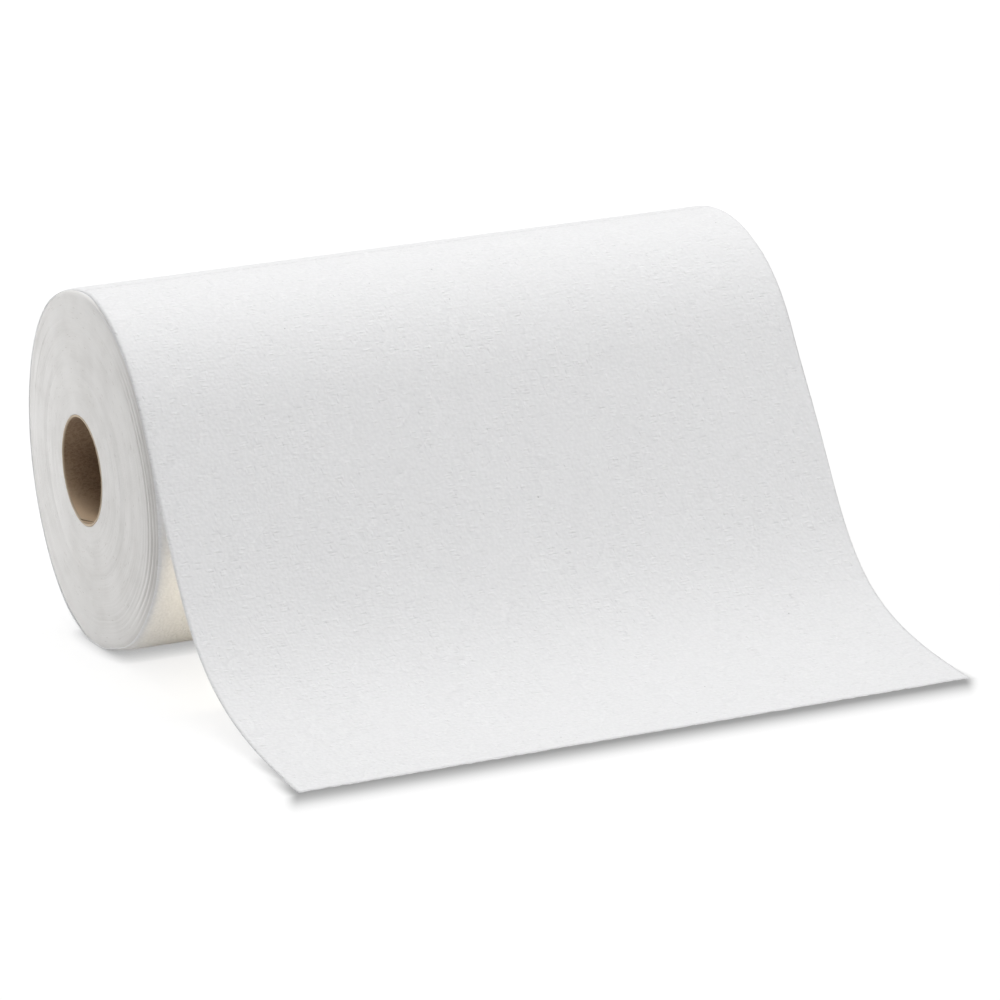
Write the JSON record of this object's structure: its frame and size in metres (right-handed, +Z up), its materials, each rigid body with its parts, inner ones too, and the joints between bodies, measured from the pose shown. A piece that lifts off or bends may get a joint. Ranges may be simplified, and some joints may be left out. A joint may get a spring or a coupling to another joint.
{
  "type": "paper towel roll",
  "caption": "Roll of embossed white paper towels on a board tube, lying on its side with its last sheet drawn forward and curling out flat.",
  "frame": {"origin": "middle of the board tube's bore, half-way along the roll", "axes": "+X along the roll, -Y towards the drawn-out sheet, +Z up from the table"},
  "size_m": [0.2794, 0.2806, 0.1441],
  "materials": {
    "towel_paper": "soft matt white tissue, embossed",
    "core_board": "matt grey-brown spiral-wound board"
  },
  "bodies": {
    "root": {"towel_web": "towel_paper", "core_tube": "core_board"}
  },
  "joints": []
}
